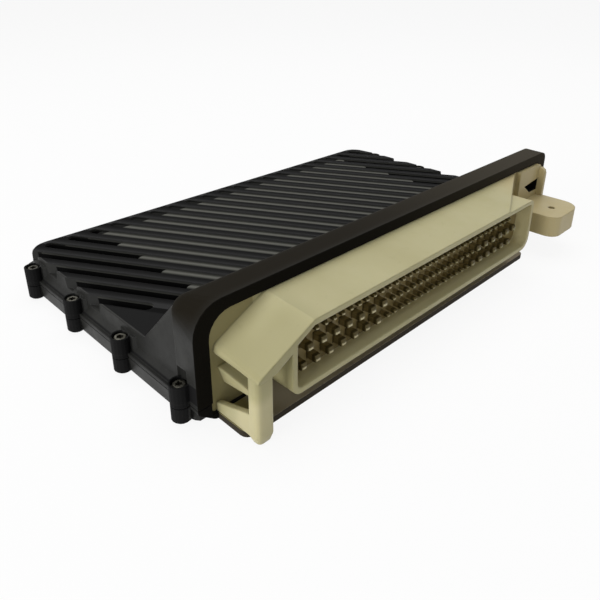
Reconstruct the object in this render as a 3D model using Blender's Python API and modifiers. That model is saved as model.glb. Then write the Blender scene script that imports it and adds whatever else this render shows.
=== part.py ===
"""Engine control unit: a finned black casting with a long cream plug header in its front flange.

Every length below is in millimetres, and each mesh is built in metres. X runs along the plug header,
Y from the plug side to the rear edge and Z up. The origin is under the middle of the flange's front face.
"""

import math

import bmesh
import bpy
from mathutils import Matrix, Vector

MM = 0.001
GAP = 0.3

# Plug header: the plate that fills the case's front opening, and the socket in front of it
PLATE_HALF = 104.5
PLATE_CORNERS = (8.2, 3.0)
PLATE_FRONT = 1.0
PLATE_BACK = 6.0
MOUTH = -19.6
CAGE_ROOM = 16.9
EAR_ROOM = 46.7
EAR_FRONT = -24.6
SOCKET_LEFT = CAGE_ROOM - PLATE_HALF
SOCKET_RIGHT = PLATE_HALF - EAR_ROOM
SOCKET_LOW = 13.4
SOCKET_WALL = 1.9
SOCKET_FLOOR = -13.0
SOCKET_FLOOR_BACK = -10.8
ROW_MARGIN = 4.2
ROW_STEP = 5.75
LOW_Z = SOCKET_LOW + ROW_MARGIN
MIDDLE_Z = LOW_Z + ROW_STEP
TOP_Z = MIDDLE_Z + ROW_STEP
SOCKET_TOP = TOP_Z + ROW_MARGIN - 0.1
SHROUD_TOP = SOCKET_TOP + 1.6
HOOD_UNDER = SOCKET_TOP + 0.5
HOOD_TOP = SOCKET_TOP + 2.0
HOOD_RISE = 4.3
PLATE_TOP = SOCKET_TOP + HOOD_RISE

# Pins: one row is its height and the depth at which its tails turn down
TOP_ROW = (TOP_Z, 15.0)
MIDDLE_ROW = (MIDDLE_Z, 12.8)
LOW_ROW = (LOW_Z, 10.6)
SIGNAL_PITCH = 4.0
POWER_PITCH = 6.1
FAR_POWER_PITCH = 5.9
NEAR_POWER_PINS = 7
FAR_POWER_PINS = 6
SIGNAL_HALF = 0.72
POWER_HALF = 1.2
PIN_TIP = -17.2
PIN_POINT = 0.7
PIN_END_ROOM = 14.3
GROUP_ROOM = 4.0

# Case: its opening fits round the plate, its walls stand back from the flange
FRAME_SIDE = 5.5
FRAME_TOP = 4.2
OPENING_HALF = PLATE_HALF + GAP
OPENING_TOP = PLATE_TOP + GAP
OPENING_CORNERS = tuple(corner + GAP for corner in PLATE_CORNERS)
FLANGE_HALF = OPENING_HALF + FRAME_SIDE
FLANGE_HEIGHT = OPENING_TOP + FRAME_TOP
FLANGE_DEPTH = 10.8
FRONT_CORNERS = (11.0, 4.0)
REAR_CORNERS = (4.5, 3.0)
FLANGE_ROUNDING = 1.2
FOOT_WIDTH = 6.5
FOOT_HEIGHT = 5.2
WALL_STEP = 2.1
WALL_HALF = FLANGE_HALF - WALL_STEP
WALL_THICK = 3.0
WALL_LOW = 11.0
BACK = 127.6
BACK_CORNER = 9.0
ROOF_TOP = 17.0
ROOF_THICK = 6.5
CEILING = ROOF_TOP - ROOF_THICK
ROOF_ROUNDING = 1.6
LIP_STEP = 2.7
LIP_HALF = WALL_HALF + LIP_STEP
LIP_TOP = 8.3
COVER_BOTTOM = 6.9
BASE_TOP = COVER_BOTTOM - GAP
BASE_TAPER = 0.6
BASE_EDGE = 0.7
FLOOR_TOP = 2.4
PLATE_LOW = FLOOR_TOP + GAP
BODY_FRONT = 5.0
RAMP_DROP = 2.4
RAMP_ROUNDING = 1.3
RAMP_TOP_Y = 13.6
RAMP_TOP_Z = FLANGE_HEIGHT - RAMP_DROP - RAMP_ROUNDING
RAMP_FOOT_Y = 32.3
RAMP_THICK = 5.0
RAMP_CORNERS = (4.5, 2.5)
TRAY_FRONT = -13.6
TRAY_LEFT = 1.5 - PLATE_HALF
TRAY_RIGHT = PLATE_HALF - 33.5

# Diagonal cooling grooves: their centre lines pass GROOVE_X + n * GROOVE_PITCH at GROOVE_BACK
GROOVE_X = 8.9 - WALL_HALF
GROOVE_BACK = BACK - 6.0
GROOVE_PITCH = 10.44
GROOVE_SLOPE = 1.66
GROOVE_HALF = 2.6
GROOVE_DRAFT = 0.14
GROOVE_FRONT = RAMP_FOOT_Y + 0.7
DEEP_FLOOR = 12.9
SHALLOW_FLOOR = 16.1
TONGUE_HALF = 2.9
TONGUE_LEFT = 32.0 - WALL_HALF
TONGUE_RIGHT = WALL_HALF - 26.5
FIRST_GROOVE = -4
LAST_GROOVE = int((WALL_HALF - 5.0 - GROOVE_X) / GROOVE_PITCH)
FIRST_GROOVE_FRONT = 48.5

# Screw bosses along both side walls
BOSS_REACH = 3.3
BOSS_X = WALL_HALF + BOSS_REACH
BOSS_FIRST = 7.4
BOSS_LAST = BACK - 15.4
BOSS_ROWS = 4
BOSS_RADIUS = 3.4
BOSS_TOP = 14.5
BOSS_FOOT = 0.6
BOSS_NECK = 5.0
SCREW_RADIUS = 1.5
HEAD_RADIUS = 2.5
HEAD_TOP = BOSS_TOP - 0.5
HEAD_LOW = HEAD_TOP - 2.4
DRIVER_TOP = 19.0
HOLE_END = BOSS_FOOT + 1.0

# Rubber strip between the castings
SEAL_OUTER = WALL_HALF + 0.1
SEAL_INNER = WALL_HALF - 1.3
SEAL_FRONT = 14.0
SEAL_LOW = 5.6

# Circuit board and what stands on it
BOARD_LOW = 4.3
BOARD_THICK = 1.6
BOARD_TOP = BOARD_LOW + BOARD_THICK
BOARD_ROOM = 3.2
BOARD_HALF = WALL_HALF - WALL_THICK - BOARD_ROOM
BOARD_FRONT = 9.2
BOARD_BACK = BACK - 7.1
PART_LOW = BOARD_TOP + GAP
PILLAR_EDGE = 4.0
PILLAR_X = BOARD_HALF - PILLAR_EDGE
PILLAR_YS = (BOARD_FRONT + 9.8, BOARD_BACK - 4.5)
BOARD_SCREW = 1.1
CHIP_DRAFT = 0.3
DRIVER_SIZE = (11.0, 13.0, 2.2)
DRIVER_SPACING = 20.0
PAD_HALF = (6.0, 17.0)
CAPACITOR_RADIUS = 4.0
CAPACITOR_HEIGHT = 9.8
CAPACITOR_PITCH = 12.0
CAPACITOR_X = -40.0
COIL_SIDE = 12.0
COIL_HEIGHT = 5.6


def clear_scene():
    for old in list(bpy.data.objects):
        bpy.data.objects.remove(old, do_unlink=True)
    for old in list(bpy.data.collections):
        bpy.data.collections.remove(old)


def new_collection(name, hidden=False):
    group = bpy.data.collections.new(name)
    group.hide_render = hidden
    bpy.context.scene.collection.children.link(group)
    return group


def finish(name, colour, roughness, metallic=0.0):
    """A plain material of that sRGB colour."""
    material = bpy.data.materials.new(name)
    material.use_nodes = True
    shader = material.node_tree.nodes["Principled BSDF"]
    linear = [(value / 255) ** 2.2 for value in colour]
    shader.inputs["Base Color"].default_value = (*linear, 1.0)
    shader.inputs["Roughness"].default_value = roughness
    shader.inputs["Metallic"].default_value = metallic
    return material


def rounded(corners, steps=4):
    """Outline through (x, y, radius) corners, each one rounded by its radius."""
    points = []
    for index, (x, y, radius) in enumerate(corners):
        if radius == 0:
            points.append((x, y))
            continue
        here = Vector((x, y))
        back = (Vector(corners[index - 1][:2]) - here).normalized()
        ahead = (Vector(corners[(index + 1) % len(corners)][:2]) - here).normalized()
        half = back.angle(ahead) / 2
        centre = here + (back + ahead).normalized() * radius / math.sin(half)
        start = here + back * radius / math.tan(half) - centre
        end = here + ahead * radius / math.tan(half) - centre
        first = math.atan2(start.y, start.x)
        turn = (math.atan2(end.y, end.x) - first + math.pi) % (2 * math.pi) - math.pi
        for step in range(steps + 1):
            angle = first + turn * step / steps
            points.append((centre.x + radius * math.cos(angle), centre.y + radius * math.sin(angle)))
    return [(round(x, 6), round(y, 6)) for x, y in points]


def level(outline, z):
    """Outline in plan, at one height."""
    return [(x, y, z) for x, y in outline]


def upright(outline, y):
    """Outline seen from the front, at one depth."""
    return [(x, y, z) for x, z in outline]


def sideways(outline, x):
    """Outline seen from the side, at one X."""
    return [(x, y, z) for y, z in outline]


def loft(*rings):
    """Body through rings of equally many points, closed at both ends."""
    def add(mesh):
        rows = [[mesh.verts.new(Vector(point) * MM) for point in ring] for ring in rings]
        count = len(rows[0])
        mesh.faces.new(rows[0])
        mesh.faces.new(rows[-1])
        for low, high in zip(rows, rows[1:]):
            for index in range(count):
                after = (index + 1) % count
                mesh.faces.new((low[index], low[after], high[after], high[index]))
    return add


def prism(outline, plane, start, end):
    """Body of one flat outline, extruded from start to end across its plane."""
    def add(mesh):
        corners = [Vector(point) * MM for point in plane(outline, start)]
        shift = Vector(plane(outline, end)[0]) * MM - corners[0]
        face = mesh.faces.new([mesh.verts.new(corner) for corner in corners])
        pushed = bmesh.ops.extrude_face_region(mesh, geom=[face])["geom"]
        moved = [part for part in pushed if isinstance(part, bmesh.types.BMVert)]
        bmesh.ops.translate(mesh, verts=moved, vec=shift)
    return add


def block(low, high):
    """Box between two opposite corners."""
    def add(mesh):
        size = (Vector(high) - Vector(low)) * MM
        centre = (Vector(high) + Vector(low)) * MM / 2
        bmesh.ops.create_cube(mesh, matrix=Matrix.LocRotScale(centre, None, size))
    return add


def rod(x, y, radius, low, high, steps=16):
    """Upright cylinder."""
    def add(mesh):
        centre = Vector((x, y, (low + high) / 2)) * MM
        bmesh.ops.create_cone(
            mesh,
            cap_ends=True,
            segments=steps,
            radius1=radius * MM,
            radius2=radius * MM,
            depth=(high - low) * MM,
            matrix=Matrix.Translation(centre),
        )
    return add


def solid(group, name, *bodies, material=None):
    """One object holding the given bodies."""
    mesh = bmesh.new()
    for add in bodies:
        add(mesh)
    bmesh.ops.recalc_face_normals(mesh, faces=mesh.faces)
    data = bpy.data.meshes.new(name)
    mesh.to_mesh(data)
    mesh.free()
    return place(group, data, material)


def place(group, data, material=None):
    """Puts a mesh into the scene as one object; the cutters are shown as wires."""
    name = data.name
    made = bpy.data.objects.new(name, data)
    group.objects.link(made)
    if material:
        data.materials.append(material)
    if group.hide_render:
        made.hide_render = True
        made.display_type = "WIRE"
    return made


def turned(name, x, y, profile, material, steps=16):
    """Round part: (radius, height) pairs from its foot to its top, swept about a vertical axis."""
    points = [(0.0, profile[0][1]), *profile, (0.0, profile[-1][1])]
    data = bpy.data.meshes.new(name)
    edges = [(index, index + 1) for index in range(len(points) - 1)]
    data.from_pydata([(radius * MM, 0.0, z * MM) for radius, z in points], edges, [])
    made = place(PARTS, data, material)
    made.location = (x * MM, y * MM, 0.0)
    sweep = made.modifiers.new("sweep", "SCREW")
    sweep.steps = steps
    sweep.render_steps = steps
    sweep.use_merge_vertices = True
    sweep.merge_threshold = 0.000001
    sweep.use_smooth_shade = True
    sweep.use_normal_flip = True
    return made


def soften(made, width, chosen):
    """Rounds the edges of a body whose two ends are both chosen."""
    weights = made.data.attributes.new("bevel_weight_edge", "FLOAT", "EDGE")
    for edge in made.data.edges:
        ends = [made.data.vertices[index].co / MM for index in edge.vertices]
        weights.data[edge.index].value = float(all(chosen(*end) for end in ends))
    bevel = made.modifiers.new("rounded_edges", "BEVEL")
    bevel.limit_method = "WEIGHT"
    bevel.width = width * MM
    bevel.segments = 3


def combine(target, other, operation):
    modifier = target.modifiers.new(other.name, "BOOLEAN")
    modifier.solver = "EXACT"
    modifier.operation = operation
    modifier.object = other


def cut(target, name, *bodies):
    """Takes the bodies away from the target."""
    combine(target, solid(CUTTERS, target.name + "_" + name, *bodies), "DIFFERENCE")


def join(target, name, *bodies):
    """Adds the bodies to the target and returns the object that holds them."""
    added = solid(CUTTERS, target.name + "_" + name, *bodies)
    combine(target, added, "UNION")
    return added


def smooth_edges(made, degrees=40):
    for face in made.data.polygons:
        face.use_smooth = True
    made.data.set_sharp_from_angle(angle=math.radians(degrees))


def plan(half, front, z, inset=0.0):
    """Plan outline of the body at one height; the rear edge moves out with the side walls."""
    back = BACK + half - WALL_HALF
    corner = BACK_CORNER - inset
    corners = [(-half, front, 0), (half, front, 0), (half, back, corner), (-half, back, corner)]
    return level(rounded(corners, 5), z)


def arch(half, low, top, corners, y):
    """Front view outline with its two upper corners rounded, the left one given first."""
    left, right = corners
    return upright(rounded([(-half, low, 0), (half, low, 0), (half, top, right), (-half, top, left)], 6), y)


def groove_line(number, y):
    return GROOVE_X + number * GROOVE_PITCH + (GROOVE_BACK - y) / GROOVE_SLOPE


def slot_outline(back, front, half):
    """Plan outline of a slot between two points, round at both ends."""
    heading = math.atan2(back[1] - front[1], back[0] - front[0])
    points = []
    for (x, y), turn in ((back, -0.5), (front, 0.5)):
        for step in range(9):
            angle = heading + math.pi * (turn + step / 8)
            points.append((x + half * math.cos(angle), y + half * math.sin(angle)))
    return points


def groove_outline(number, half):
    front_y = FIRST_GROOVE_FRONT if number == FIRST_GROOVE else GROOVE_FRONT - 12.0
    ends = [(groove_line(number, y), y) for y in (GROOVE_BACK, front_y)]
    return slot_outline(*ends, half)


def tongue_outline(number):
    """Plan outline of the stretch of a groove that keeps the higher floor."""
    start = groove_line(number, GROOVE_BACK)
    ends = [(x, GROOVE_BACK - (x - start) * GROOVE_SLOPE) for x in (TONGUE_LEFT, TONGUE_RIGHT)]
    return slot_outline(*ends, TONGUE_HALF)


def groove_cutter(name, floor, shrink):
    """Cutter for the grooves behind the ramp, down to one floor height."""
    top = ROOF_TOP + 1.0
    low_half = GROOVE_HALF - GROOVE_DRAFT * (ROOF_TOP - floor) - shrink
    high_half = GROOVE_HALF + GROOVE_DRAFT * (top - ROOF_TOP) - shrink
    slots = [
        loft(level(groove_outline(number, low_half), floor), level(groove_outline(number, high_half), top))
        for number in range(FIRST_GROOVE, LAST_GROOVE + 1)
    ]
    cutter = solid(CUTTERS, name, *slots)
    side = LIP_HALF + 5.0
    zone = block((-side, GROOVE_FRONT, floor - 1.0), (side, BACK + 5.0, top + 1.0))
    combine(cutter, solid(CUTTERS, name + "_zone", zone), "INTERSECT")
    return cutter


def boss_outline(side, y, inset=0.0):
    """Round boss with a flared neck into the wall, in plan."""
    neck = [(WALL_HALF - 2.3, -BOSS_NECK), (WALL_HALF, -BOSS_NECK), (WALL_HALF + 1.0, 1.3 - BOSS_NECK)]
    radius = BOSS_RADIUS - inset
    arc = []
    for step in range(13):
        angle = math.radians(-130 + 260 * step / 12)
        arc.append((BOSS_X + radius * math.cos(angle), radius * math.sin(angle)))
    points = neck + arc + [(px, -py) for px, py in reversed(neck)]
    return [(side * px, y + py) for px, py in points]


def boss_places():
    pitch = (BOSS_LAST - BOSS_FIRST) / (BOSS_ROWS - 1)
    return [(side, BOSS_FIRST + pitch * row) for side in (-1, 1) for row in range(BOSS_ROWS)]


def pillar_places():
    return [(side * PILLAR_X, y) for side in (-1, 1) for y in PILLAR_YS]


def upper_cover(material):
    flange = loft(
        arch(FLANGE_HALF, COVER_BOTTOM, FLANGE_HEIGHT, FRONT_CORNERS, 0.0),
        arch(FLANGE_HALF, COVER_BOTTOM, FLANGE_HEIGHT, REAR_CORNERS, FLANGE_DEPTH),
    )
    cover = solid(PARTS, "upper_cover", flange, material=material)
    soften(cover, FLANGE_ROUNDING, lambda x, y, z: y > FLANGE_DEPTH / 2)
    lip_front = FLANGE_DEPTH - 0.4
    body = loft(
        plan(LIP_HALF, lip_front, COVER_BOTTOM),
        plan(LIP_HALF, lip_front, LIP_TOP),
        plan(LIP_HALF - 1.0, BODY_FRONT, LIP_TOP + 0.05),
        plan(WALL_HALF, BODY_FRONT, WALL_LOW),
        plan(WALL_HALF, BODY_FRONT, ROOF_TOP),
    )
    walls = join(cover, "body", body)
    soften(walls, ROOF_ROUNDING, lambda x, y, z: z > ROOF_TOP - 0.1 and y > BODY_FRONT + 0.1)
    left, right = RAMP_CORNERS
    rounded_corners = (left - 1.0, right - 1.0)
    ramp = loft(
        arch(WALL_HALF, LIP_TOP, RAMP_TOP_Z + RAMP_ROUNDING, RAMP_CORNERS, FLANGE_DEPTH - 4.0),
        arch(WALL_HALF, LIP_TOP, RAMP_TOP_Z + RAMP_ROUNDING, RAMP_CORNERS, RAMP_TOP_Y - RAMP_ROUNDING),
        arch(WALL_HALF, LIP_TOP, RAMP_TOP_Z, rounded_corners, RAMP_TOP_Y),
        arch(WALL_HALF, LIP_TOP, ROOF_TOP, (0.8, 0.8), RAMP_FOOT_Y),
    )
    join(cover, "ramp", ramp)
    deep = groove_cutter("deep_grooves", DEEP_FLOOR, 0.0)
    tongues = [
        prism(tongue_outline(number), level, DEEP_FLOOR - 2.0, ROOF_TOP + 3.0)
        for number in range(FIRST_GROOVE, LAST_GROOVE + 1)
    ]
    combine(deep, solid(CUTTERS, "tongues", *tongues), "DIFFERENCE")
    combine(cover, deep, "DIFFERENCE")
    combine(cover, groove_cutter("shallow_grooves", SHALLOW_FLOOR, 0.02), "DIFFERENCE")
    bosses = [prism(boss_outline(side, y), level, COVER_BOTTOM, BOSS_TOP) for side, y in boss_places()]
    join(cover, "bosses", *bosses)
    slope = (RAMP_TOP_Z - ROOF_TOP) / (RAMP_FOOT_Y - RAMP_TOP_Y)
    inner_top = RAMP_TOP_Y + (RAMP_TOP_Z - RAMP_THICK - OPENING_TOP) / slope
    inner_foot = RAMP_TOP_Y + (RAMP_TOP_Z - RAMP_THICK - CEILING) / slope
    low = COVER_BOTTOM - 2.0
    front_hollow = loft(
        arch(OPENING_HALF, low, OPENING_TOP, OPENING_CORNERS, -1.0),
        arch(OPENING_HALF, low, OPENING_TOP, OPENING_CORNERS, inner_top),
        arch(OPENING_HALF, low, CEILING, (1.5, 1.5), inner_foot),
    )
    cut(cover, "front_hollow", front_hollow)
    inner = WALL_HALF - WALL_THICK - 0.2
    start = inner_foot - WALL_THICK
    main_hollow = loft(plan(inner, start, low, WALL_THICK), plan(inner, start, CEILING, WALL_THICK))
    cut(cover, "main_hollow", main_hollow)
    holes = []
    for side, y in boss_places():
        holes.append(rod(side * BOSS_X, y, SCREW_RADIUS + GAP, low, HEAD_LOW))
        holes.append(rod(side * BOSS_X, y, HEAD_RADIUS + GAP, HEAD_LOW - GAP, DRIVER_TOP))
    cut(cover, "screw_holes", *holes)
    smooth_edges(cover)


def base_cover(material):
    foot = [(-FLANGE_HALF, FOOT_HEIGHT, 1.5), (FOOT_WIDTH - FLANGE_HALF, 0.0, 4.0)]
    foot += [(-x, z, radius) for x, z, radius in reversed(foot)]
    bar = rounded(foot + [(FLANGE_HALF, BASE_TOP, 0), (-FLANGE_HALF, BASE_TOP, 0)], 4)
    base = solid(PARTS, "base_cover", prism(bar, upright, 0.0, FLANGE_DEPTH), material=material)
    lip_front = FLANGE_DEPTH - 0.4
    body = loft(
        plan(LIP_HALF - BASE_TAPER - BASE_EDGE, lip_front, 0.0),
        plan(LIP_HALF - BASE_TAPER, lip_front, BASE_EDGE),
        plan(LIP_HALF, lip_front, BASE_TOP),
    )
    join(base, "body", body)
    sides = [(TRAY_LEFT, 2.0, 0), (TRAY_RIGHT, 2.0, 0)]
    tray = rounded(sides + [(TRAY_RIGHT, TRAY_FRONT, 2.5), (TRAY_LEFT, TRAY_FRONT, 3.0)], 4)
    join(base, "tray", prism(tray, level, 0.0, FLOOR_TOP))
    bosses = [
        loft(
            level(boss_outline(side, y, BASE_EDGE), BOSS_FOOT),
            level(boss_outline(side, y), BOSS_FOOT + BASE_EDGE),
            level(boss_outline(side, y), BASE_TOP),
        )
        for side, y in boss_places()
    ]
    join(base, "bosses", *bosses)
    inner = WALL_HALF - WALL_THICK
    cut(
        base,
        "hollow",
        loft(plan(inner, -1.0, FLOOR_TOP, WALL_THICK), plan(inner, -1.0, BASE_TOP + 2.0, WALL_THICK)),
    )
    pillars = [rod(x, y, 3.0, FLOOR_TOP - 0.6, BOARD_LOW - GAP, 12) for x, y in pillar_places()]
    join(base, "pillars", *pillars)
    hole = SCREW_RADIUS + GAP
    holes = [rod(side * BOSS_X, y, hole, HOLE_END, BASE_TOP + 1.0) for side, y in boss_places()]
    cut(base, "screw_holes", *holes)
    threads = [rod(x, y, BOARD_SCREW + GAP, 0.9, BOARD_TOP, 12) for x, y in pillar_places()]
    cut(base, "board_holes", *threads)
    cut(base, "seal_groove", prism(seal_outline(GAP), level, SEAL_LOW - GAP, BASE_TOP + 1.0))
    smooth_edges(base)


def seal_outline(extra):
    """U-shaped strip along both sides and the rear edge, widened by extra on every side."""
    outer = SEAL_OUTER + extra
    inner = SEAL_INNER - extra
    front = SEAL_FRONT - extra
    far = BACK + outer - WALL_HALF
    near = BACK + inner - WALL_HALF
    outside = rounded([(outer, front, 0), (outer, far, 9.5), (-outer, far, 9.5), (-outer, front, 0)], 5)
    inside = rounded([(-inner, front, 0), (-inner, near, 8.1), (inner, near, 8.1), (inner, front, 0)], 5)
    return outside + inside


def near_power_xs(row):
    """The thick pins at the socket's left end."""
    first = SOCKET_LEFT + (8.4 if row is MIDDLE_ROW else 5.6)
    return [first + POWER_PITCH * number for number in range(NEAR_POWER_PINS)]


def far_power_xs(row):
    """The thick pins at the socket's right end."""
    last = SOCKET_RIGHT - (8.6 if row is MIDDLE_ROW else 12.0)
    return [last - FAR_POWER_PITCH * (FAR_POWER_PINS - 1 - number) for number in range(FAR_POWER_PINS)]


def signal_xs(row):
    """The small pins: as many as the row has room for."""
    if row is TOP_ROW:
        first = SOCKET_LEFT + 11.1
        last = SOCKET_RIGHT - PIN_END_ROOM
    else:
        first = near_power_xs(row)[-1] + 5.2
        last = far_power_xs(row)[0] - GROUP_ROOM
    count = 1 + int((last - first + 0.1) / SIGNAL_PITCH)
    return [first + SIGNAL_PITCH * number for number in range(count)]


def pin_body(x, row, half):
    """Square pin from its tapered tip back through the plug header, then down towards the board."""
    z, turn = row
    tip = half * 0.55

    def square(size, y):
        corners = ((-size, size), (size, size), (size, -size), (-size, -size))
        return [(x + across, y, z + up) for across, up in corners]

    bend = [(x - half, turn + half, z + half), (x + half, turn + half, z + half)]
    bend += [(x + half, turn - half, z - half), (x - half, turn - half, z - half)]
    foot = [(px, py, PART_LOW) for px, py, _ in bend]
    return loft(square(tip, PIN_TIP), square(half, PIN_TIP + PIN_POINT), bend, foot)


def hook_ring(y, ridge_x, ridge_z, edge_z, under_z):
    """Front view of the sloped web over the hook cage at one depth."""
    edge = 1.5 - PLATE_HALF
    slope = (ridge_z - edge_z) / (ridge_x - edge)
    return [
        (ridge_x, y, ridge_z),
        (edge + 1.6, y, edge_z + 1.6 * slope),
        (edge + 0.4, y, edge_z - 0.1),
        (edge, y, (edge_z + under_z) / 2 - 0.2),
        (edge + 0.6, y, under_z),
        (edge + 6.9, y, under_z + 0.7),
        (SOCKET_LEFT - 1.7, y, SOCKET_TOP - 5.6),
        (SOCKET_LEFT - 0.9, y, SOCKET_TOP - 3.8),
        (SOCKET_LEFT + 6.6, y, SOCKET_TOP + 0.4),
    ]


def hook_cage(housing):
    """The open cage at the header's left end: sloped web, post, low web and peg."""
    edge = 1.5 - PLATE_HALF
    web = loft(
        hook_ring(MOUTH, SOCKET_LEFT + 7.1, HOOD_TOP, 24.4, 23.2),
        hook_ring(0.0, SOCKET_LEFT + 5.6, PLATE_TOP, 26.8, 23.6),
        hook_ring(PLATE_FRONT + 0.6, SOCKET_LEFT + 5.6, PLATE_TOP, 26.8, 23.6),
    )
    join(housing, "hook_web", web)
    far = edge + 6.9
    post = rounded([(edge, -18.9, 1.9), (far, -18.9, 1.6), (far, -14.7, 0.6), (edge, -14.7, 0.6)], 3)
    middle_x, middle_y = edge + 3.5, -16.8
    foot = [(middle_x + 0.72 * (x - middle_x), middle_y + 0.72 * (y - middle_y)) for x, y in post]
    join(housing, "post", loft(level(foot, 0.3), level(post, 2.6), level(post, 23.9)))
    side = [(PLATE_FRONT + 0.5, PLATE_LOW), (PLATE_FRONT + 0.5, 5.5), (-15.3, 10.8), (-15.3, PLATE_LOW)]
    join(housing, "low_web", prism(side, sideways, edge + 0.1, edge + 2.0))
    root = [(edge + 1.4, 18.6), (edge + 6.4, 18.6), (edge + 6.0, 14.2), (edge + 3.4, 11.6)]
    end = [(edge + 2.0, 16.8), (edge + 5.0, 16.8), (edge + 4.8, 15.0), (edge + 3.2, 13.8)]
    join(housing, "peg", loft(upright(root, PLATE_FRONT + 0.5), upright(end, -15.2)))


def ear_end(housing):
    """The header's right end: raised pad with its window and rib, and the ear with its hole."""
    edge = PLATE_HALF - 0.2
    left = edge - 22.3
    top = PLATE_TOP - 0.2
    corner = PLATE_CORNERS[1] - 0.2
    pad = rounded([(left, 20.0, 0), (edge, 20.0, 0), (edge, top, corner), (left, top, 0)], 5)
    join(housing, "pad", prism(pad, upright, -1.5, PLATE_FRONT + 0.5))
    rib = [(PLATE_FRONT + 0.4, 20.8), (-4.5, 20.8), (-4.5, 33.0), (-3.9, 34.6), (-2.4, 35.6)]
    rib += [(-0.4, 35.6), (-0.4, 30.8), (PLATE_FRONT + 0.4, 30.8)]
    join(housing, "end_rib", prism(rib, sideways, PLATE_HALF - 2.4, PLATE_HALF - 0.1))
    ear_left = SOCKET_RIGHT + 19.7
    ear_right = edge - 0.5
    sides = [(ear_right, 1.6, 0), (ear_left, 1.6, 0)]
    ear = rounded(sides + [(ear_left, EAR_FRONT, 5.5), (ear_right, EAR_FRONT, 8.5)], 6)
    join(housing, "ear", prism(ear, level, 11.3, 21.2))
    window = [(edge - 9.9, 24.0), (edge - 2.3, 24.0), (edge - 2.3, 30.0), (edge - 16.3, 28.6)]
    cut(housing, "window", prism(window, upright, -3.0, PLATE_BACK + 1.0))
    cut(housing, "ear_hole", rod(ear_left + 12.5, -15.8, 1.6, 10.0, 22.0))


def plate_outline(inset):
    """Front view of the plate, or of the rubber ring behind it, drawn in by inset."""
    half = PLATE_HALF - inset
    sides = [(-half, PLATE_LOW + inset, 1.0), (half, PLATE_LOW + inset, 1.0)]
    left, right = PLATE_CORNERS
    tops = [(half, PLATE_TOP - inset, right - inset), (-half, PLATE_TOP - inset, left - inset)]
    return rounded(sides + tops, 6)


def connector_housing(material):
    plate = prism(plate_outline(0.0), upright, PLATE_FRONT, PLATE_BACK)
    housing = solid(PARTS, "connector_housing", plate, material=material)
    left = SOCKET_LEFT - SOCKET_WALL
    right = SOCKET_RIGHT + SOCKET_WALL
    low = SOCKET_LOW - SOCKET_WALL
    shroud = rounded(
        [
            (left, low, 3.4),
            (right, low, 5.5),
            (right, SHROUD_TOP, 2.5),
            (left + 9.0, SHROUD_TOP, 0),
            (left, SHROUD_TOP - 4.5, 0),
        ],
        5,
    )
    join(housing, "shroud", prism(shroud, upright, MOUTH, PLATE_FRONT + 1.0))
    hood_left = SOCKET_LEFT + 5.4
    mouth_right = SOCKET_RIGHT - 20.8
    root_right = SOCKET_RIGHT + 20.2
    mouth = [(hood_left, HOOD_UNDER), (mouth_right, HOOD_UNDER)]
    mouth += [(mouth_right, HOOD_TOP), (hood_left + 1.7, HOOD_TOP)]
    root = [(hood_left - 1.8, HOOD_UNDER), (root_right, HOOD_UNDER)]
    root += [(root_right, PLATE_TOP), (hood_left + 0.2, PLATE_TOP)]
    join(housing, "hood", loft(upright(mouth, MOUTH), upright(root, 0.0), upright(root, PLATE_FRONT + 0.8)))
    hook_cage(housing)
    ear_end(housing)
    socket = rounded(
        [
            (SOCKET_LEFT, SOCKET_LOW, 2.2),
            (SOCKET_RIGHT, SOCKET_LOW, 3.8),
            (SOCKET_RIGHT, SOCKET_TOP, 1.6),
            (SOCKET_LEFT + 7.0, SOCKET_TOP, 0),
            (SOCKET_LEFT, SOCKET_TOP - 3.7, 0),
        ],
        5,
    )
    cut(housing, "socket", prism(socket, upright, MOUTH - 1.0, SOCKET_FLOOR))
    pocket_left = SOCKET_LEFT + 2.6
    pocket_right = SOCKET_RIGHT - 2.3
    pocket_low = SOCKET_LOW + 2.0
    pocket_top = SOCKET_TOP - 1.8
    pocket = rounded(
        [
            (pocket_left, pocket_low, 1.0),
            (pocket_right, pocket_low, 1.0),
            (pocket_right, pocket_top, 1.0),
            (pocket_left, pocket_top, 3.0),
        ],
        3,
    )
    cut(housing, "rear_pocket", prism(pocket, upright, SOCKET_FLOOR_BACK, PLATE_BACK + 1.0))
    pins = [pin_body(x, row, SIGNAL_HALF) for row in (TOP_ROW, MIDDLE_ROW, LOW_ROW) for x in signal_xs(row)]
    join(housing, "signal_pins", *pins)
    spots = [(x, row) for row in (MIDDLE_ROW, LOW_ROW) for x in near_power_xs(row) + far_power_xs(row)]
    slots = []
    for x, row in spots:
        half = POWER_HALF + GAP
        z = row[0]
        low = (x - half, SOCKET_FLOOR - 1.0, z - half)
        high = (x + half, SOCKET_FLOOR_BACK + 1.0, z + half)
        slots.append(block(low, high))
    cut(housing, "power_slots", *slots)
    smooth_edges(housing, 30)
    return spots


def power_pins(spots, material):
    for number, (x, row) in enumerate(spots, 1):
        solid(PARTS, f"power_pin_{number:02d}", pin_body(x, row, POWER_HALF), material=material)


def connector_seal(material):
    """Rubber ring behind the header's plate."""
    front = PLATE_BACK + GAP
    outer = prism(plate_outline(0.0), upright, front, front + 2.0)
    ring = solid(PARTS, "connector_seal", outer, material=material)
    cut(ring, "inside", prism(plate_outline(2.4), upright, front - 1.0, front + 3.0))
    smooth_edges(ring)


def cover_seal(material):
    strip = prism(seal_outline(0.0), level, SEAL_LOW, BASE_TOP)
    smooth_edges(solid(PARTS, "cover_seal", strip, material=material))


def star(x, y, outer, inner):
    points = []
    for step in range(12):
        radius = outer if step % 2 == 0 else inner
        angle = math.pi * step / 6
        points.append((x + radius * math.cos(angle), y + radius * math.sin(angle)))
    return points


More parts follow.
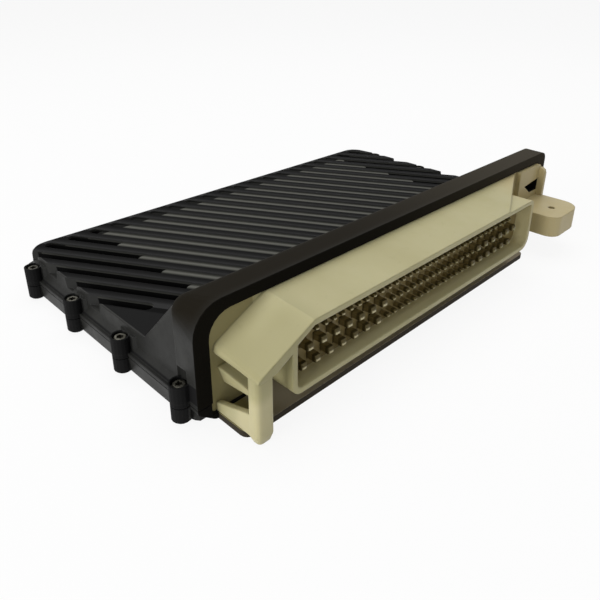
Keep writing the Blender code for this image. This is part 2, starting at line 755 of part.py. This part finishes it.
def cover_screws(material):
    for number, (side, y) in enumerate(boss_places(), 1):
        x = side * BOSS_X
        profile = (
            (SCREW_RADIUS - 0.4, HOLE_END + 0.6),
            (SCREW_RADIUS, HOLE_END + 1.2),
            (SCREW_RADIUS, HEAD_LOW),
            (HEAD_RADIUS, HEAD_LOW),
            (HEAD_RADIUS, HEAD_TOP - 0.7),
            (HEAD_RADIUS - 0.6, HEAD_TOP),
        )
        screw = turned(f"cover_screw_{number}", x, y, profile, material)
        recess = star(x, y, 1.4, 1.0)
        cut(screw, "recess", prism(recess, level, HEAD_TOP - 1.3, HEAD_TOP + 1.0))


def circuit_board(material):
    corners = [(-BOARD_HALF, BOARD_FRONT, 2.0), (BOARD_HALF, BOARD_FRONT, 2.0)]
    corners += [(BOARD_HALF, BOARD_BACK, 3.0), (-BOARD_HALF, BOARD_BACK, 3.0)]
    outline = rounded(corners, 3)
    board = solid(PARTS, "circuit_board", prism(outline, level, BOARD_LOW, BOARD_TOP), material=material)
    holes = [rod(x, y, BOARD_SCREW + GAP, BOARD_LOW - 1.0, BOARD_TOP + 1.0, 12) for x, y in pillar_places()]
    cut(board, "holes", *holes)


def board_screws(material):
    for number, (x, y) in enumerate(pillar_places(), 1):
        profile = (
            (BOARD_SCREW, 1.2),
            (BOARD_SCREW, PART_LOW),
            (2.6, PART_LOW),
            (2.6, PART_LOW + 1.2),
            (2.0, PART_LOW + 1.7),
        )
        turned(f"board_screw_{number}", x, y, profile, material, 12)


def chip(name, x, y, size, material):
    """Moulded chip with a small draft on its sides."""
    width, depth, height = size
    bottom = [(x - width / 2, y - depth / 2), (x + width / 2, y - depth / 2)]
    bottom += [(x + width / 2, y + depth / 2), (x - width / 2, y + depth / 2)]
    shrink_x = 1 - CHIP_DRAFT / width
    shrink_y = 1 - CHIP_DRAFT / depth
    top = [(x + (px - x) * shrink_x, y + (py - y) * shrink_y) for px, py in bottom]
    solid(PARTS, name, loft(level(bottom, PART_LOW), level(top, PART_LOW + height)), material=material)


def board_parts(black, can, winding):
    chip("processor", -8.0, 74.0, (24.0, 24.0, 1.7), black)
    chip("flash_memory", 24.0, 76.0, (12.0, 18.0, 1.3), black)
    chip("supply_chip", 52.0, 52.0, (14.0, 14.0, 1.6), black)
    for number in range(1, 4):
        x = CAPACITOR_X + CAPACITOR_PITCH * (number - 1)
        top = PART_LOW + CAPACITOR_HEIGHT
        profile = (
            (CAPACITOR_RADIUS - 0.2, PART_LOW),
            (CAPACITOR_RADIUS, PART_LOW + 0.6),
            (CAPACITOR_RADIUS, top - 0.6),
            (CAPACITOR_RADIUS - 0.6, top),
        )
        turned(f"supply_capacitor_{number}", x, 22.0, profile, can)
    coil_x = CAPACITOR_X + CAPACITOR_PITCH * 3 + 16.0
    solid(PARTS, "storage_inductor", coil(coil_x, 23.0), material=winding)
    edge_x, edge_y = -40.0, 71.0
    corners = [(edge_x, edge_y, 2.2), (edge_x + 11.0, edge_y, 2.2)]
    corners += [(edge_x + 11.0, edge_y + 4.6, 2.2), (edge_x, edge_y + 4.6, 2.2)]
    body = prism(rounded(corners, 4), level, PART_LOW, PART_LOW + 3.2)
    solid(PARTS, "crystal", body, material=can)


def coil(x, y):
    """Square moulded inductor, drawn in a little round its top."""
    def outline(half):
        corners = [(x - half, y - half, 2.0), (x + half, y - half, 2.0)]
        return rounded(corners + [(x + half, y + half, 2.0), (x - half, y + half, 2.0)], 3)

    half = COIL_SIDE / 2
    top = PART_LOW + COIL_HEIGHT
    heights = ((half, PART_LOW), (half, top - 1.0), (half - 1.0, top))
    return loft(*[level(outline(size), z) for size, z in heights])


def driver_chips(black, pad):
    """Driver chips in two pairs, each pair under one pad that carries its heat to the cover."""
    height = DRIVER_SIZE[2]
    for pair, (x, y) in enumerate(((28.0 - BOARD_HALF, 68.0), (BOARD_HALF - 24.0, 88.0))):
        for place_in_pair in (0, 1):
            chip_y = y + DRIVER_SPACING * (place_in_pair - 0.5)
            chip(f"driver_chip_{2 * pair + place_in_pair + 1}", x, chip_y, DRIVER_SIZE, black)
        wide, long = PAD_HALF
        low = (x - wide, y - long, PART_LOW + height + GAP)
        solid(PARTS, f"thermal_pad_{pair + 1}", block(low, (x + wide, y + long, CEILING - GAP)), material=pad)


clear_scene()
PARTS = new_collection("engine_control_unit")
CUTTERS = new_collection("cutters", hidden=True)

upper_cover(finish("black_casting", (38, 38, 37), 0.5))
base_cover(finish("base_casting", (42, 42, 43), 0.5))
power_spots = connector_housing(finish("cream_plastic", (184, 178, 138), 0.45))
power_pins(power_spots, finish("pin_metal", (160, 155, 130), 0.35, 1.0))
connector_seal(finish("plug_rubber", (40, 40, 42), 0.8))
cover_seal(finish("case_rubber", (36, 36, 38), 0.8))
cover_screws(finish("screw_steel", (190, 188, 182), 0.3, 1.0))
circuit_board(finish("board_green", (38, 84, 52), 0.5))
board_screws(finish("board_screw_steel", (175, 175, 172), 0.35, 1.0))
chip_black = finish("chip_black", (30, 30, 32), 0.6)
can_metal = finish("can_metal", (170, 172, 175), 0.35, 1.0)
board_parts(chip_black, can_metal, finish("winding_grey", (60, 60, 62), 0.6))
driver_chips(chip_black, finish("thermal_grey", (150, 152, 155), 0.8))
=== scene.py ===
"""Engine control unit: looks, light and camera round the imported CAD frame.

Lengths are in millimetres on the object and for the camera, and in metres for the floor and lamps.
"""

import math
from typing import NamedTuple

import bpy
from mathutils import Matrix, Vector

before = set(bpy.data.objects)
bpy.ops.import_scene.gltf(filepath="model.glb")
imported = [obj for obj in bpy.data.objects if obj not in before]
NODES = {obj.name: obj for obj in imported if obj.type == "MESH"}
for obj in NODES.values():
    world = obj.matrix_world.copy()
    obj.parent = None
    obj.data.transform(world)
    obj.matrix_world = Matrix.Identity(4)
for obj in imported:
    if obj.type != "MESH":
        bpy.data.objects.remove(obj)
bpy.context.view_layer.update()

MM = 0.001


# Materials


def linear(colour):
    """sRGB 0-255 to linear RGBA."""
    return (*[(value / 255) ** 2.2 for value in colour], 1.0)


class Zone(NamedTuple):
    """A box on the object, given by its x, y and z limits, with a tone and roughness of its own."""

    limits: tuple
    tone: tuple
    rough: float = 0.5
    soft: float = 0.08
    soft_along: float = 0.0


class Surface:
    """A Principled material with helpers for the nodes that feed it."""

    def __init__(self, name):
        self.material = bpy.data.materials.new(name)
        self.material.use_nodes = True
        self.tree = self.material.node_tree
        self.shader = self.tree.nodes["Principled BSDF"]
        self.place = self.add("ShaderNodeTexCoord").outputs["Object"]
        axes = self.add("ShaderNodeSeparateXYZ")
        self.link(self.place, axes.inputs[0])
        self.axes = axes.outputs

    def add(self, kind, **settings):
        node = self.tree.nodes.new(kind)
        for key, value in settings.items():
            setattr(node, key, value)
        return node

    def link(self, source, target):
        self.tree.links.new(source, target)

    def set(self, **values):
        for key, value in values.items():
            self.shader.inputs[key.replace("_", " ")].default_value = value

    def noise(self, size, detail=3.0, rough=0.5, stretch=None):
        """Noise whose features are about size millimetres across."""
        source = self.place
        if stretch:
            scale = self.add("ShaderNodeVectorMath", operation="MULTIPLY")
            scale.inputs[1].default_value = stretch
            self.link(source, scale.inputs[0])
            source = scale.outputs[0]
        node = self.add("ShaderNodeTexNoise")
        node.inputs["Scale"].default_value = 1000.0 / size
        node.inputs["Detail"].default_value = detail
        node.inputs["Roughness"].default_value = rough
        self.link(source, node.inputs["Vector"])
        return node.outputs["Fac"]

    def ramp(self, source, stops):
        node = self.add("ShaderNodeValToRGB")
        elements = node.color_ramp.elements
        while len(elements) < len(stops):
            elements.new(0.5)
        for element, (place, value) in zip(elements, stops):
            element.position = place
            element.color = value if isinstance(value, tuple) else (value, value, value, 1.0)
        self.link(source, node.inputs["Fac"])
        return node.outputs["Color"]

    def span(self, source, start, end, first=0.0, last=1.0):
        """Value that goes from first to last while the source goes from start to end."""
        node = self.add("ShaderNodeMapRange", interpolation_type="SMOOTHSTEP")
        for name, value in (("From Min", start), ("From Max", end), ("To Min", first), ("To Max", last)):
            node.inputs[name].default_value = value
        self.link(source, node.inputs["Value"])
        return node.outputs["Result"]

    def math(self, operation, first, second):
        node = self.add("ShaderNodeMath", operation=operation)
        for value, socket in zip((first, second), node.inputs):
            if isinstance(value, float):
                socket.default_value = value
            else:
                self.link(value, socket)
        return node.outputs[0]

    def zone(self, limits, soft=0.08, soft_along=0.0):
        """1 inside a box given by its x, y and z limits and 0 outside; its edges can be softer along x."""
        inside = 1.0
        for axis, pair, fade in zip(self.axes, limits, (soft_along or soft, soft, soft)):
            for edge, reach in zip(pair, (fade, -fade)):
                step = self.span(axis, (edge - reach) * MM, (edge + reach) * MM)
                inside = self.math("MULTIPLY", step, inside)
        return inside

    def mix(self, factor, first, second):
        node = self.add("ShaderNodeMix", data_type="RGBA")
        self.link(factor, node.inputs["Factor"])
        for value, socket in ((first, node.inputs[6]), (second, node.inputs[7])):
            if isinstance(value, tuple):
                socket.default_value = value
            else:
                self.link(value, socket)
        return node.outputs[2]

    def blend(self, factor, first, second):
        """Number that goes from first, a number or a socket, to second."""
        node = self.add("ShaderNodeMix", data_type="FLOAT")
        self.link(factor, node.inputs["Factor"])
        for value, socket in ((first, node.inputs[2]), (second, node.inputs[3])):
            if isinstance(value, float):
                socket.default_value = value
            else:
                self.link(value, socket)
        return node.outputs[0]

    def edge_normal(self, radius):
        """Normal that rounds every edge by that many millimetres."""
        node = self.add("ShaderNodeBevel", samples=6)
        node.inputs["Radius"].default_value = radius * MM
        return node.outputs["Normal"]

    def bump(self, height, depth, strength=1.0, normal=None):
        """Bump whose full height is depth millimetres."""
        node = self.add("ShaderNodeBump")
        node.inputs["Distance"].default_value = depth * MM
        node.inputs["Strength"].default_value = strength
        self.link(height, node.inputs["Height"])
        if normal:
            self.link(normal, node.inputs["Normal"])
        return node.outputs["Normal"]

    def drive(self, name, source):
        self.link(source, self.shader.inputs[name])


# Cooling grooves and ribs of the upper cover
GROOVE_START = -99.3
GROOVE_BACK = 121.6
GROOVE_PITCH = 10.44
GROOVE_SLOPE = 1.66
FIRST_GROOVE = -4
GROOVE_SIDES = (-105.8, 105.8)
GROOVE_DEPTH = (33.2, 124.6)
# Rear ends of the grooves, painted black as shade.
GROOVE_END_SHADE_DEPTH = (118.2, 124.6)
DEEP_HEIGHT = (11.0, 15.9)
STRIP_HEIGHT = (15.9, 16.4)
RIB_SIDES = (-107.5, 107.5)
RIB_DEPTH = (30.0, 127.0)
RIB_HEIGHT = (16.75, 17.4)

# Regions of the castings
WIDE = (-120.0, 120.0)
RIGHT_END = (30.0, 170.0)
LEFT_END = (-120.0, -93.0)
BOSS_SIDE = (-116.0, -109.4)
BOSS_OUTSIDE = (-116.0, -111.2)
BOSS_DEPTH = (-1.0, 130.0)
FLANGE_DEPTH = (-1.0, 12.0)
FRONT_DEPTH = (-5.0, 0.3)
FRONT_HEIGHT = (-5.0, 50.0)
TRAY_DEPTH = (-20.0, -0.1)
TRAY_TOP = (2.3, 3.0)
# Painted shade: the screw bosses are painted darker than the casting.
BOSS_SHADE = (20, 20, 20)
BOSS_ROUGH = 0.75

COVER_ZONES = (
    Zone((BOSS_SIDE, BOSS_DEPTH, (8.5, 15.0)), BOSS_SHADE, BOSS_ROUGH, soft=0.2),
    Zone((BOSS_OUTSIDE, BOSS_DEPTH, (5.0, 8.5)), BOSS_SHADE, BOSS_ROUGH, soft=0.2),
    # Painted shade: the flange top is painted darker and browner than the casting.
    Zone((WIDE, FLANGE_DEPTH, (35.0, 50.0)), (31, 28, 22), 0.95, soft=4.5),
    # Painted light: the flange top is painted lighter towards the right end.
    Zone((RIGHT_END, FLANGE_DEPTH, (41.0, 50.0)), (60, 56, 48), 0.9, soft=0.4, soft_along=80.0),
    # Painted shade: the front face is painted near black.
    Zone((WIDE, FRONT_DEPTH, FRONT_HEIGHT), (17, 15, 9), 1.0),
    # Painted light: the flange front is painted lighter towards the right end.
    Zone((RIGHT_END, FRONT_DEPTH, FRONT_HEIGHT), (50, 46, 38), 0.95, soft_along=80.0),
)
BASE_ZONES = (
    Zone((BOSS_OUTSIDE, BOSS_DEPTH, (-1.0, 8.5)), BOSS_SHADE, BOSS_ROUGH, soft=0.2),
    # Painted reflection: the tray is painted brown, and its top pale grey and yellower at the left end, for
    # light reflected from the plug into its shade.
    Zone((WIDE, TRAY_DEPTH, (-1.0, 3.0)), (54, 49, 40), 0.7),
    Zone((WIDE, TRAY_DEPTH, TRAY_TOP), (150, 141, 124), 0.35, soft=0.05),
    Zone((LEFT_END, TRAY_DEPTH, TRAY_TOP), (150, 141, 98), 0.5, soft=0.05, soft_along=1.5),
    # Painted shade: the base's front face is painted near black.
    Zone((WIDE, (-0.2, 0.3), (-1.0, 7.0)), (14, 13, 9), 1.0),
)


def groove_count(surface):
    """Place across the cooling grooves: a whole number at each groove's centre line."""
    start = GROOVE_START + GROOVE_BACK / GROOVE_SLOPE
    run = surface.math("SUBTRACT", surface.axes[0], start * MM)
    run = surface.math("ADD", run, surface.math("MULTIPLY", surface.axes[1], 1.0 / GROOVE_SLOPE))
    return surface.math("DIVIDE", run, GROOVE_PITCH * MM)


def rib_zones(surface, tone, rough):
    """Painted shade and highlight: black groove bottoms and groove ends, raised strips painted bright along
    one side, and rib tops painted dark with a painted highlight at one edge.
    """
    # Painted shade: groove bottoms and groove ends are painted black.
    black = linear((4, 4, 4))
    count = groove_count(surface)
    phase = surface.math("FRACT", count, 0.0)
    deep = surface.zone((GROOVE_SIDES, GROOVE_DEPTH, DEEP_HEIGHT))
    tone = surface.mix(deep, tone, black)
    rough = surface.blend(deep, rough, 1.0)
    # Painted highlight and shade on the raised strips: bright along one side, dark across the rest.
    strip = surface.zone((GROOVE_SIDES, GROOVE_DEPTH, STRIP_HEIGHT))
    bright_edge = [(0.0, 0.62), (0.1, 1.0), (0.27, 0.3), (0.6, 0.15), (0.92, 0.15), (1.0, 0.62)]
    strip_light_and_shade = surface.ramp(phase, bright_edge)
    tone = surface.mix(strip, tone, surface.mix(strip_light_and_shade, linear((16, 16, 15)), linear((94, 94, 88))))
    rough = surface.blend(strip, rough, surface.blend(strip_light_and_shade, 1.0, 0.4))
    # Painted shade at the rear ends of the grooves.
    groove_end_shade = surface.zone((GROOVE_SIDES, GROOVE_END_SHADE_DEPTH, STRIP_HEIGHT), 0.3)
    tone = surface.mix(groove_end_shade, tone, black)
    rough = surface.blend(groove_end_shade, rough, 1.0)
    # Painted shade and highlight: rib tops painted dark, with a painted highlight along one edge.
    top = surface.zone((RIB_SIDES, RIB_DEPTH, RIB_HEIGHT))
    edge = surface.ramp(phase, [(0.29, 1.0), (0.34, 0.75), (0.45, 0.35), (0.71, 0.0)])
    past_first = surface.span(count, FIRST_GROOVE - 0.4, FIRST_GROOVE - 0.3)
    edge = surface.blend(past_first, 0.35, edge)
    tone = surface.mix(top, tone, surface.mix(edge, linear((7, 7, 7)), linear((46, 46, 46))))
    return tone, surface.blend(top, rough, surface.blend(edge, 1.0, 0.85))


def casting(name, dark, light, specular, rounding, zones, ribbed=False):
    """Black coated die casting: mottled, finely grained, and with zones painted lighter or darker as painted
    light and shade.
    """
    surface = Surface(name)
    surface.set(Specular_IOR_Level=specular)
    cloud = surface.noise(14.0, 4.0, 0.55)
    grain = surface.noise(0.55, 3.0, 0.6)
    tone = surface.ramp(cloud, [(0.3, linear(dark)), (0.7, linear(light))])
    rough = surface.ramp(surface.noise(5.0, 3.0), [(0.3, 0.4), (0.7, 0.52)])
    for zone in zones:
        inside = surface.zone(zone.limits, zone.soft, zone.soft_along)
        tone = surface.mix(inside, tone, linear(zone.tone))
        rough = surface.blend(inside, rough, zone.rough)
    if ribbed:
        tone, rough = rib_zones(surface, tone, rough)
    speck = surface.ramp(grain, [(0.66, 0.0), (0.8, 0.2)])
    surface.drive("Base Color", surface.mix(speck, tone, linear((60, 59, 56))))
    surface.drive("Roughness", rough)
    rounded = surface.edge_normal(rounding)
    fine = surface.bump(grain, 0.04, 0.5, rounded)
    surface.drive("Normal", surface.bump(surface.noise(2.4, 2.0), 0.07, 0.5, fine))
    return surface.material


# Plug header: socket, pins and window
SOCKET_SIDES = (-87.7, 57.9)
SOCKET_DEPTH = (-19.0, -12.0)
SOCKET_HEIGHT = (13.3, 33.3)
SOCKET_MOUTH = -19.6
SOCKET_SHADE_END = -13.6
SOCKET_FLOOR = (-13.15, -13.05)
CHAMFER_DROP = 3.7
CHAMFER_RUN = 7.0
CHAMFER_SLOPE = CHAMFER_DROP / CHAMFER_RUN
CHAMFER_TOP = (87.6, 33.2)
CHAMFER_LINE = CHAMFER_TOP[1] - CHAMFER_DROP + CHAMFER_TOP[0] * CHAMFER_SLOPE
PIN_SIDES = (-85.5, 55.8)
PIN_DEPTH = (-18.0, -13.15)
PIN_HEIGHT = (16.0, 30.6)
PIN_NECK = (-14.8, -15.6)
PIN_TIP = (-16.75, -16.95)
PIN_ROW_STEP = 5.75
PIN_ROW_EDGE = 17.6 - PIN_ROW_STEP / 2
PIN_GRADIENT = (-60.0, 50.0)
# Painted highlight on the lower side of the pin tips.
LEFT_TIP_HIGHLIGHT = linear((176, 168, 134))
RIGHT_TIP_HIGHLIGHT = linear((124, 120, 86))
WINDOW = ((93.8, 102.2), (-1.3, 7.0), (23.8, 30.2))

CREAM_ZONES = (
    Zone(((60.0, 160.0), (-60.0, 10.0), (-10.0, 60.0)), (180, 166, 124), soft=14.0),
    # Painted shade: the left part of the hood is painted darker.
    Zone(((-160.0, -80.0), (-60.0, -6.0), (20.0, 60.0)), (160, 154, 115), soft=6.0),
    # Painted shade: the plate left of the hood is painted darker.
    Zone(((-160.0, -87.0), (0.7, 10.0), (-10.0, 60.0)), (146, 138, 100), soft=0.2),
    # Painted light: the post is painted lighter.
    Zone(((-160.0, -96.0), (-60.0, -9.0), (-10.0, 16.0)), (190, 182, 142), soft=2.5),
)


def pin_tone(surface):
    """Dull shaft, a neck painted dark as shade, and a tip with a painted highlight on its lower side, weaker
    toward the right end.
    """
    along, forward, height = surface.axes[0], surface.axes[1], surface.axes[2]
    neck = surface.span(forward, PIN_NECK[0] * MM, PIN_NECK[1] * MM)
    tip = surface.span(forward, PIN_TIP[0] * MM, PIN_TIP[1] * MM)
    row = surface.math("SUBTRACT", height, PIN_ROW_EDGE * MM)
    row = surface.math("DIVIDE", row, PIN_ROW_STEP * MM)
    low = surface.span(surface.math("FRACT", row, 0.0), 0.56, 0.46)
    tone = surface.mix(neck, linear((128, 115, 77)), linear((78, 69, 40)))
    toward_right = surface.span(along, PIN_GRADIENT[0] * MM, PIN_GRADIENT[1] * MM)
    tip_highlight = surface.mix(toward_right, LEFT_TIP_HIGHLIGHT, RIGHT_TIP_HIGHLIGHT)
    return surface.mix(surface.math("MULTIPLY", tip, low), tone, tip_highlight)


def inside_socket(surface):
    """1 within the socket, which ends at the chamfer of its upper left corner."""
    within = surface.zone((SOCKET_SIDES, SOCKET_DEPTH, SOCKET_HEIGHT))
    slope = surface.math("MULTIPLY", surface.axes[0], CHAMFER_SLOPE)
    rise = surface.math("SUBTRACT", surface.axes[2], slope)
    below_chamfer = surface.span(rise, (CHAMFER_LINE + 0.3) * MM, (CHAMFER_LINE + 0.1) * MM)
    return surface.math("MULTIPLY", within, below_chamfer)


def cream_plastic():
    """Natural nylon: slightly translucent, with socket walls painted lighter as painted light, a socket
    floor painted brown as shade, a window painted near black as shade, and the small pins in metal.
    """
    surface = Surface("cream_plastic")
    surface.set(Specular_IOR_Level=0.25, Subsurface_Weight=0.1, Subsurface_Scale=0.0014)
    surface.shader.inputs["Subsurface Radius"].default_value = (1.0, 0.8, 0.45)
    flow = surface.noise(26.0, 3.0, 0.5, (1.0, 0.6, 1.6))
    tone = surface.ramp(flow, [(0.3, linear((170, 163, 122))), (0.7, linear((180, 174, 134)))])
    for zone in CREAM_ZONES:
        tone = surface.mix(surface.zone(zone.limits, zone.soft), tone, linear(zone.tone))
    grime = surface.ramp(surface.noise(3.2, 5.0, 0.65), [(0.6, 0.0), (0.8, 0.25)])
    tone = surface.mix(grime, tone, linear((138, 130, 92)))
    # Painted light: the socket walls are painted lighter towards the floor.
    within = inside_socket(surface)
    inward = surface.span(surface.axes[1], SOCKET_MOUTH * MM, SOCKET_SHADE_END * MM)
    tone = surface.mix(surface.math("MULTIPLY", within, inward), tone, linear((200, 190, 146)))
    # Painted shade: the socket floor is painted dark brown.
    at_floor = surface.span(surface.axes[1], SOCKET_FLOOR[0] * MM, SOCKET_FLOOR[1] * MM)
    tone = surface.mix(surface.math("MULTIPLY", within, at_floor), tone, linear((130, 116, 78)))
    # Painted shade: the inner walls of the window are painted near black.
    tone = surface.mix(surface.zone(WINDOW), tone, linear((14, 14, 12)))
    pins = surface.zone((PIN_SIDES, PIN_DEPTH, PIN_HEIGHT))
    surface.drive("Base Color", surface.mix(pins, tone, pin_tone(surface)))
    surface.drive("Metallic", surface.math("MULTIPLY", pins, 0.6))
    surface.drive("Roughness", surface.ramp(surface.noise(7.0, 3.0), [(0.3, 0.38), (0.7, 0.52)]))
    rounded = surface.edge_normal(0.9)
    fine = surface.bump(surface.noise(0.7, 3.0, 0.6), 0.03, 0.5, rounded)
    surface.drive("Normal", surface.bump(surface.noise(9.0, 2.0), 0.08, 0.4, fine))
    return surface.material


def power_metal():
    """Plated metal of the thick pins."""
    surface = Surface("pin_metal")
    surface.set(Metallic=0.6, Roughness=0.38)
    # Its colour carries the painted shade on the pin necks and the painted highlight on the tips.
    surface.drive("Base Color", pin_tone(surface))
    surface.drive("Normal", surface.bump(surface.noise(0.25, 2.0), 0.01, 0.5, surface.edge_normal(0.35)))
    return surface.material


def metal(name, colour, stained, roughness, size):
    """Bare or plated metal with faint staining."""
    surface = Surface(name)
    surface.set(Metallic=1.0)
    stain = surface.ramp(surface.noise(size, 3.0), [(0.35, linear(stained)), (0.65, linear(colour))])
    surface.drive("Base Color", stain)
    rough = [(0.3, roughness), (0.7, roughness + 0.15)]
    surface.drive("Roughness", surface.ramp(surface.noise(size * 0.6, 3.0), rough))
    surface.drive("Normal", surface.bump(surface.noise(0.25, 2.0), 0.01, 0.5, surface.edge_normal(0.15)))
    return surface.material


def dull(name, colour, roughness, size=1.5):
    """Rubber, moulding compound or lacquer with a faint grain."""
    surface = Surface(name)
    surface.set(Roughness=roughness, Specular_IOR_Level=0.3)
    paler = tuple(min(255, value * 1.18) for value in colour)
    tone = surface.ramp(surface.noise(size), [(0.35, linear(colour)), (0.65, linear(paler))])
    surface.drive("Base Color", tone)
    surface.drive("Normal", surface.bump(surface.noise(size * 0.3), 0.04, 0.4))
    return surface.material


FINISHES = {
    "upper_cover": casting(
        "black_casting", (36, 36, 35), (45, 45, 43), specular=0.11, rounding=0.6, zones=COVER_ZONES,
        ribbed=True,
    ),
    "base_cover": casting(
        "base_casting", (37, 37, 36), (46, 46, 44), specular=0.12, rounding=0.5, zones=BASE_ZONES
    ),
    "connector_housing": cream_plastic(),
    "power_pin": power_metal(),
    "connector_seal": dull("plug_rubber", (34, 34, 36), 0.75),
    "cover_seal": dull("case_rubber", (30, 30, 32), 0.75),
    "cover_screw": metal("screw_steel", (98, 96, 88), (58, 57, 50), 0.4, 1.2),
    "circuit_board": dull("board_green", (34, 78, 48), 0.45, 3.0),
    "board_screw": metal("board_screw_steel", (178, 178, 175), (150, 150, 148), 0.32, 1.2),
    "can": metal("can_metal", (172, 174, 177), (150, 152, 155), 0.35, 3.0),
    "storage_inductor": dull("winding_grey", (56, 56, 58), 0.6),
    "thermal_pad": dull("thermal_grey", (146, 148, 151), 0.8),
    "chip": dull("chip_black", (28, 28, 30), 0.55),
}


def finish_for(node):
    if node.startswith("supply_capacitor") or node == "crystal":
        return FINISHES["can"]
    for start, material in FINISHES.items():
        if node.startswith(start):
            return material
    return FINISHES["chip"]


for name, node in NODES.items():
    for place in node.material_slots:
        place.link = "OBJECT"
        place.material = finish_for(name)


# Camera: fitted to the flange's corners, the grooves, the screws and the pins

CAMERA_PLACE = (-191.1, -124.6, 133.0)
CAMERA_AZIMUTH = 45.59
CAMERA_DROP = 24.07
CAMERA_ROLL = 0.63
FOCAL_PIXELS = 609.73
CENTRE_PIXEL = (308.13, 227.11)
IMAGE = 600.0
SENSOR = 36.0


def add_camera():
    azimuth = math.radians(CAMERA_AZIMUTH)
    drop = math.radians(CAMERA_DROP)
    roll = math.radians(CAMERA_ROLL)
    ahead = Vector((math.sin(azimuth) * math.cos(drop), math.cos(azimuth) * math.cos(drop), -math.sin(drop)))
    right = Vector((math.cos(azimuth), -math.sin(azimuth), 0.0))
    up = right.cross(ahead)
    side = right * math.cos(roll) + up * math.sin(roll)
    top = up * math.cos(roll) - right * math.sin(roll)
    turn = Matrix((side, top, -ahead)).transposed().to_4x4()
    lens = bpy.data.cameras.new("camera")
    lens.sensor_width = SENSOR
    lens.lens = SENSOR * FOCAL_PIXELS / IMAGE
    lens.shift_x = -(CENTRE_PIXEL[0] - IMAGE / 2) / IMAGE
    lens.shift_y = -(IMAGE / 2 - CENTRE_PIXEL[1]) / IMAGE
    lens.clip_start = 0.01
    lens.clip_end = 20.0
    camera = bpy.data.objects.new("camera", lens)
    camera.matrix_world = Matrix.Translation(Vector(CAMERA_PLACE) * MM) @ turn
    bpy.context.scene.collection.objects.link(camera)
    bpy.context.scene.camera = camera


# Stage and light

FLOOR_REACH = 4.0
FLOOR_DROP = 0.05 * MM
FLOOR_SHADE = (0.86, 0.86, 0.86, 1.0)
FLOOR_WHITE = 0.9
AMBIENT = 0.33
WHITE = (1.0, 1.0, 1.0, 1.0)


def add_lamp(name, place, aim, size, power):
    data = bpy.data.lights.new(name, "AREA")
    data.shape = "RECTANGLE"
    data.size = size[0]
    data.size_y = size[1]
    data.energy = power
    lamp = bpy.data.objects.new(name, data)
    lamp.location = place
    lamp.rotation_mode = "QUATERNION"
    lamp.rotation_quaternion = (Vector(aim) - Vector(place)).to_track_quat("-Z", "Y")
    bpy.context.scene.collection.objects.link(lamp)


def shown_white(tree, plain, strength):
    """The plain shader for diffuse light, and white where the camera, gloss or glass looks at it."""
    path = tree.nodes.new("ShaderNodeLightPath")
    seen = path.outputs["Is Camera Ray"]
    for name in ("Is Glossy Ray", "Is Transmission Ray"):
        most = tree.nodes.new("ShaderNodeMath")
        most.operation = "MAXIMUM"
        tree.links.new(seen, most.inputs[0])
        tree.links.new(path.outputs[name], most.inputs[1])
        seen = most.outputs[0]
    share = tree.nodes.new("ShaderNodeMath")
    share.operation = "MULTIPLY"
    share.inputs[1].default_value = strength
    tree.links.new(seen, share.inputs[0])
    blend = tree.nodes.new("ShaderNodeMixShader")
    tree.links.new(share.outputs[0], blend.inputs[0])
    tree.links.new(plain.outputs[0], blend.inputs[1])
    return blend


def add_floor():
    mesh = bpy.data.meshes.new("floor")
    corners = [(-1, -1), (1, -1), (1, 1), (-1, 1)]
    mesh.from_pydata([(x * FLOOR_REACH, y * FLOOR_REACH, 0) for x, y in corners], [], [(0, 1, 2, 3)])
    floor = bpy.data.objects.new("floor", mesh)
    floor.location.z = -FLOOR_DROP
    bpy.context.scene.collection.objects.link(floor)
    material = bpy.data.materials.new("pale_floor")
    material.use_nodes = True
    tree = material.node_tree
    shader = tree.nodes["Principled BSDF"]
    shader.inputs["Base Color"].default_value = FLOOR_SHADE
    shader.inputs["Roughness"].default_value = 0.9
    white = tree.nodes.new("ShaderNodeEmission")
    blend = shown_white(tree, shader, FLOOR_WHITE)
    tree.links.new(white.outputs[0], blend.inputs[2])
    tree.links.new(blend.outputs[0], tree.nodes["Material Output"].inputs["Surface"])
    mesh.materials.append(material)


def add_world():
    world = bpy.data.worlds.new("studio")
    bpy.context.scene.world = world
    world.use_nodes = True
    tree = world.node_tree
    ambient = tree.nodes["Background"]
    ambient.inputs["Color"].default_value = WHITE
    ambient.inputs["Strength"].default_value = AMBIENT
    white = tree.nodes.new("ShaderNodeBackground")
    white.inputs["Color"].default_value = WHITE
    blend = shown_white(tree, ambient, 1.0)
    tree.links.new(white.outputs[0], blend.inputs[2])
    tree.links.new(blend.outputs[0], tree.nodes["World Output"].inputs["Surface"])


add_camera()
add_floor()
add_world()
add_lamp("overhead", place=(0.12, 0.2, 0.9), aim=(0.0, 0.05, 0.0), size=(0.9, 0.7), power=5.3)
add_lamp("left_panel", place=(-0.9, 0.0, 0.26), aim=(0.0, 0.03, 0.02), size=(0.5, 0.4), power=4.6)

bpy.context.scene.view_settings.view_transform = "Standard"
